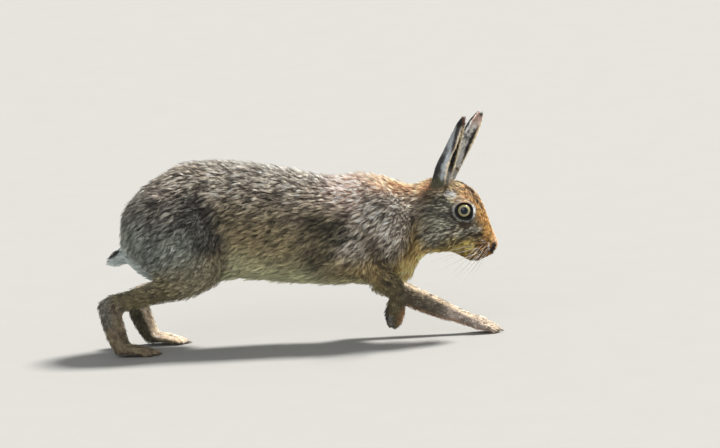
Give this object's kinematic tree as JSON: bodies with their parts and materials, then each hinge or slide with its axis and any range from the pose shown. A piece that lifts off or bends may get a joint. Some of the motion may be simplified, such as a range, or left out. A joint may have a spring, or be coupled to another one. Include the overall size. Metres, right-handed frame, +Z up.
{
  "type": "brown hare",
  "caption": "Still life-size brown hare caught in a low stretched stride, standing on its hind feet and one fore paw with the other lifted.",
  "frame": {"origin": "middle of the bounding box at floor level", "axes": "+X towards the nose, +Y towards the hare's left, +Z up"},
  "size_m": [0.5694, 0.1452, 0.315],
  "materials": {
    "body_fur": "coarse agouti fur, buff with dark brown tips",
    "head_fur": "short grizzled fur, tan on the nose and grey on the cheek",
    "leg_fur": "short close tan fur, with dark horn claws",
    "ear": "thin furred skin, grey-brown outside with a black tip and a pale fringe",
    "tail": "soft fur, black above and white below",
    "eye": "wet glossy eyeball, amber iris round a dark pupil"
  },
  "bodies": {
    "root": {"torso": "body_fur", "neck": "body_fur", "head": "head_fur", "tail": "tail", "ear_left": "ear", "ear_right": "ear", "eye_left": "eye", "eye_right": "eye", "upper_arm_left": "body_fur", "upper_arm_right": "body_fur", "forearm_left": "leg_fur", "forearm_right": "leg_fur", "forepaw_left": "leg_fur", "forepaw_right": "leg_fur", "thigh_left": "body_fur", "thigh_right": "body_fur", "shin_left": "leg_fur", "shin_right": "leg_fur", "hind_foot_left": "leg_fur", "hind_foot_right": "leg_fur"}
  },
  "joints": []
}
